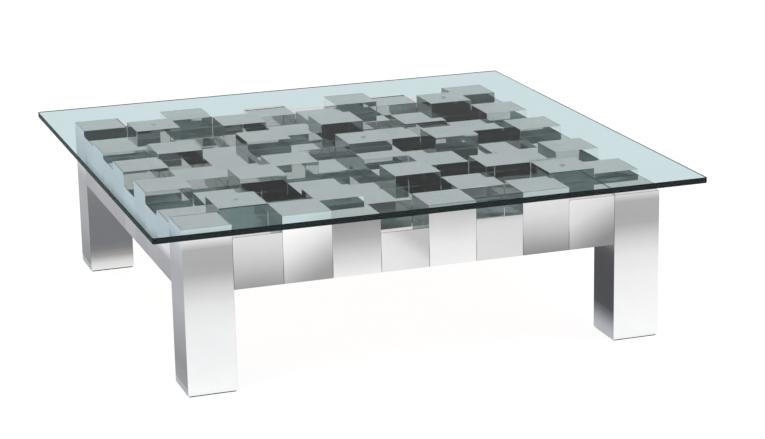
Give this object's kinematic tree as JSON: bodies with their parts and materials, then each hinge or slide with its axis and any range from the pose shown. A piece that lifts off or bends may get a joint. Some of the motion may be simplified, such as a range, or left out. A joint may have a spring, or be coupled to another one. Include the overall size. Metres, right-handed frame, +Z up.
{
  "type": "coffee table",
  "caption": "Low square coffee table: mirror-clad blocks of uneven height on square mirror-clad legs, under a loose overhanging square glass plate.",
  "frame": {"origin": "on the floor, under the centre of the table", "axes": "+Z up; +X left to right along the front; +Y from the front to the back"},
  "size_m": [1.2192, 1.2192, 0.3715],
  "materials": {
    "glass": "clear plate glass with a faint green-blue tint, polished faces and ground edges",
    "mirror": "mirror-polished sheet steel",
    "timber": "planed softwood, unfinished",
    "plywood": "sanded plywood, unfinished",
    "bumper": "clear soft vinyl",
    "foot": "black moulded plastic",
    "fastener": "zinc-plated steel"
  },
  "bodies": {
    "base": {"apron_rail_back": "plywood", "apron_rail_front": "plywood", "apron_rail_left": "plywood", "apron_rail_right": "plywood", "block_cores_row_1": "timber", "block_cores_row_10": "timber", "block_cores_row_2": "timber", "block_cores_row_3": "timber", "block_cores_row_4": "timber", "block_cores_row_5": "timber", "block_cores_row_6": "timber", "block_cores_row_7": "timber", "block_cores_row_8": "timber", "block_cores_row_9": "timber", "block_screws": "fastener", "brace_screws": "fastener", "corner_brace_back_left": "timber", "corner_brace_back_right": "timber", "corner_brace_front_left": "timber", "corner_brace_front_right": "timber", "corner_top_plates": "mirror", "deck_panel": "plywood", "deck_screws": "fastener", "foot_pad_back_left": "foot", "foot_pad_back_right": "foot", "foot_pad_front_left": "foot", "foot_pad_front_right": "foot", "foot_pad_nails": "fastener", "glass_bumpers": "bumper", "leg_bolts": "fastener", "leg_core_back_left": "timber", "leg_core_back_right": "timber", "leg_core_front_left": "timber", "leg_core_front_right": "timber", "leg_sleeve_back_left": "mirror", "leg_sleeve_back_right": "mirror", "leg_sleeve_front_left": "mirror", "leg_sleeve_front_right": "mirror", "leg_washers": "fastener", "mirror_caps_row_1": "mirror", "mirror_caps_row_10": "mirror", "mirror_caps_row_2": "mirror", "mirror_caps_row_3": "mirror", "mirror_caps_row_4": "mirror", "mirror_caps_row_5": "mirror", "mirror_caps_row_6": "mirror", "mirror_caps_row_7": "mirror", "mirror_caps_row_8": "mirror", "mirror_caps_row_9": "mirror"},
    "glass": {"glass_top": "glass"}
  },
  "joints": [
    {"name": "glass_lift", "type": "slide", "parent": "base", "child": "glass", "axis": [0, 0, 1], "range_m": [0, 0.15]}
  ]
}
